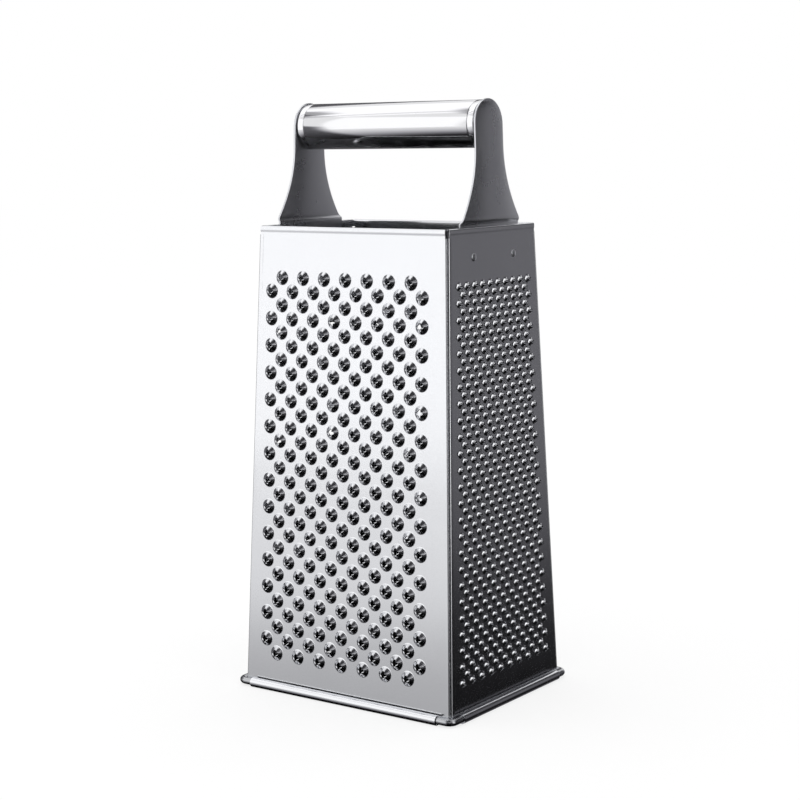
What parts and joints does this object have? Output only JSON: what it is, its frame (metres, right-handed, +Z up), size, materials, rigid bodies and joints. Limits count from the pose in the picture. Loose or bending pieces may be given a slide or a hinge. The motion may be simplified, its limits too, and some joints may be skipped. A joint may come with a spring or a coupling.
{
  "type": "box grater",
  "caption": "Tapered four-sided stainless steel kitchen grater, open at top and foot, with pierced grating faces, a wire-edged foot and a tube handle on two flat brackets.",
  "frame": {"origin": "middle of the foot, on the surface that the grater stands on", "axes": "+Z up along the height; X along the wide faces, with the fine grating face at +X; the medium grating face is at -Y"},
  "size_m": [0.1088, 0.0868, 0.2366],
  "materials": {
    "panel_steel": "polished stainless sheet",
    "wire_steel": "drawn stainless wire",
    "tube_steel": "polished stainless tube",
    "bracket_steel": "satin stainless plate",
    "rivet_steel": "pressed stainless rivet"
  },
  "bodies": {
    "root": {"front_panel": "panel_steel", "right_panel": "panel_steel", "back_panel": "panel_steel", "left_panel": "panel_steel", "rim_wire": "wire_steel", "handle_tube": "tube_steel", "handle_bracket_right": "bracket_steel", "handle_bracket_left": "bracket_steel", "tube_cup_right": "bracket_steel", "tube_cup_left": "bracket_steel", "bracket_rivet_right_a": "rivet_steel", "bracket_rivet_right_b": "rivet_steel", "bracket_rivet_left_a": "rivet_steel", "bracket_rivet_left_b": "rivet_steel"}
  },
  "joints": []
}
